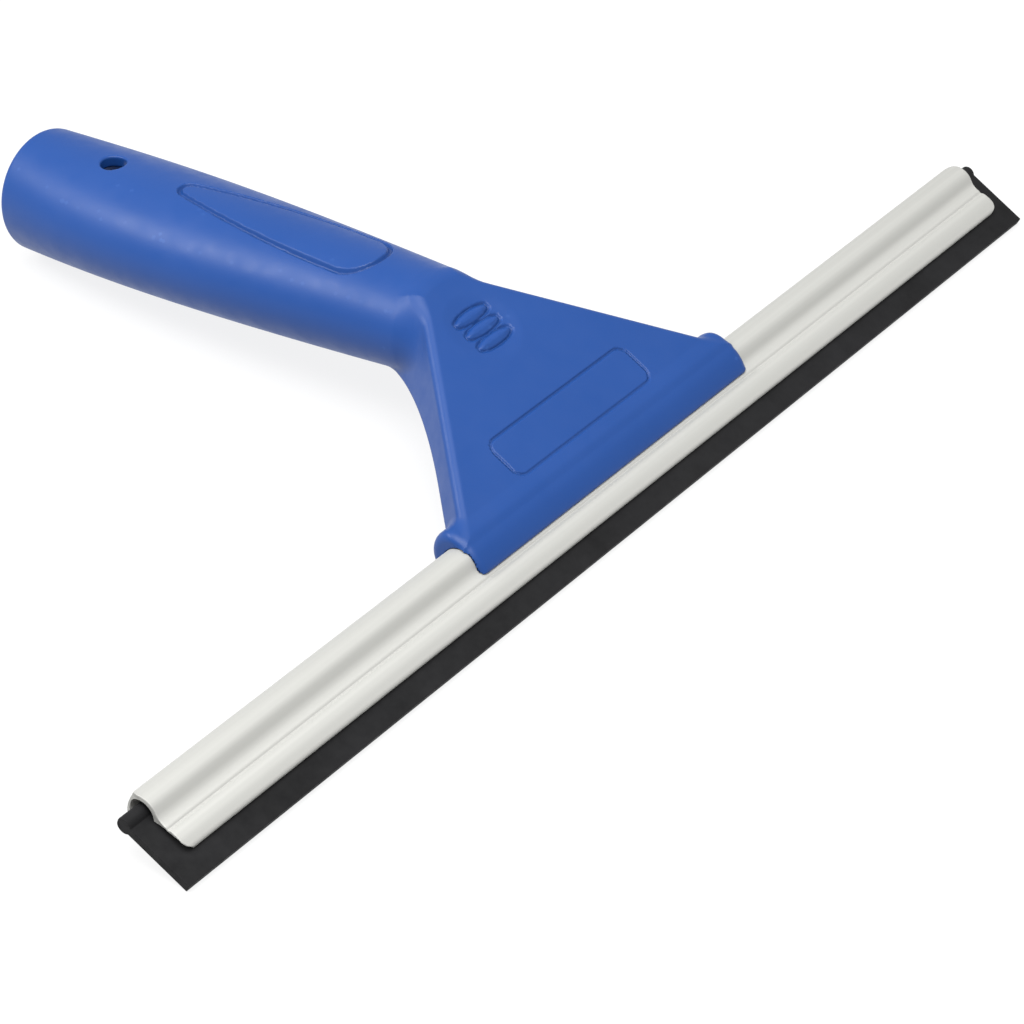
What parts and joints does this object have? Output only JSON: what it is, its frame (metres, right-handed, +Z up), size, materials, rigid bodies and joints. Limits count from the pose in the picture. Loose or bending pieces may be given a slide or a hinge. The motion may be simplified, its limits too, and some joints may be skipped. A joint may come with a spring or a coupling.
{
  "type": "window squeegee",
  "caption": "Hand squeegee for windows: a round moulded handle cranked to a flat fan head, whose jaw holds an aluminium channel with a replaceable rubber blade.",
  "frame": {"origin": "centre of the bounding box's bottom face: on the table the squeegee lies on, midway along the blade and midway between the handle's rear end and the working edge", "axes": "+X along the blade, +Y from the handle to the rubber's working edge, +Z up, with the thumb side up"},
  "size_m": [0.315, 0.19, 0.039],
  "materials": {
    "blue_plastic": "moulded satin blue plastic",
    "satin_aluminium": "satin anodised extrusion",
    "black_rubber": "matte black rubber"
  },
  "bodies": {
    "frame": {"handle": "blue_plastic", "blade_channel": "satin_aluminium"},
    "rubber": {"rubber_blade": "black_rubber"}
  },
  "joints": [
    {"name": "rubber_slide", "type": "slide", "parent": "frame", "child": "rubber", "axis": [1, 0, 0], "range_m": [-0.312, 0.312]}
  ]
}
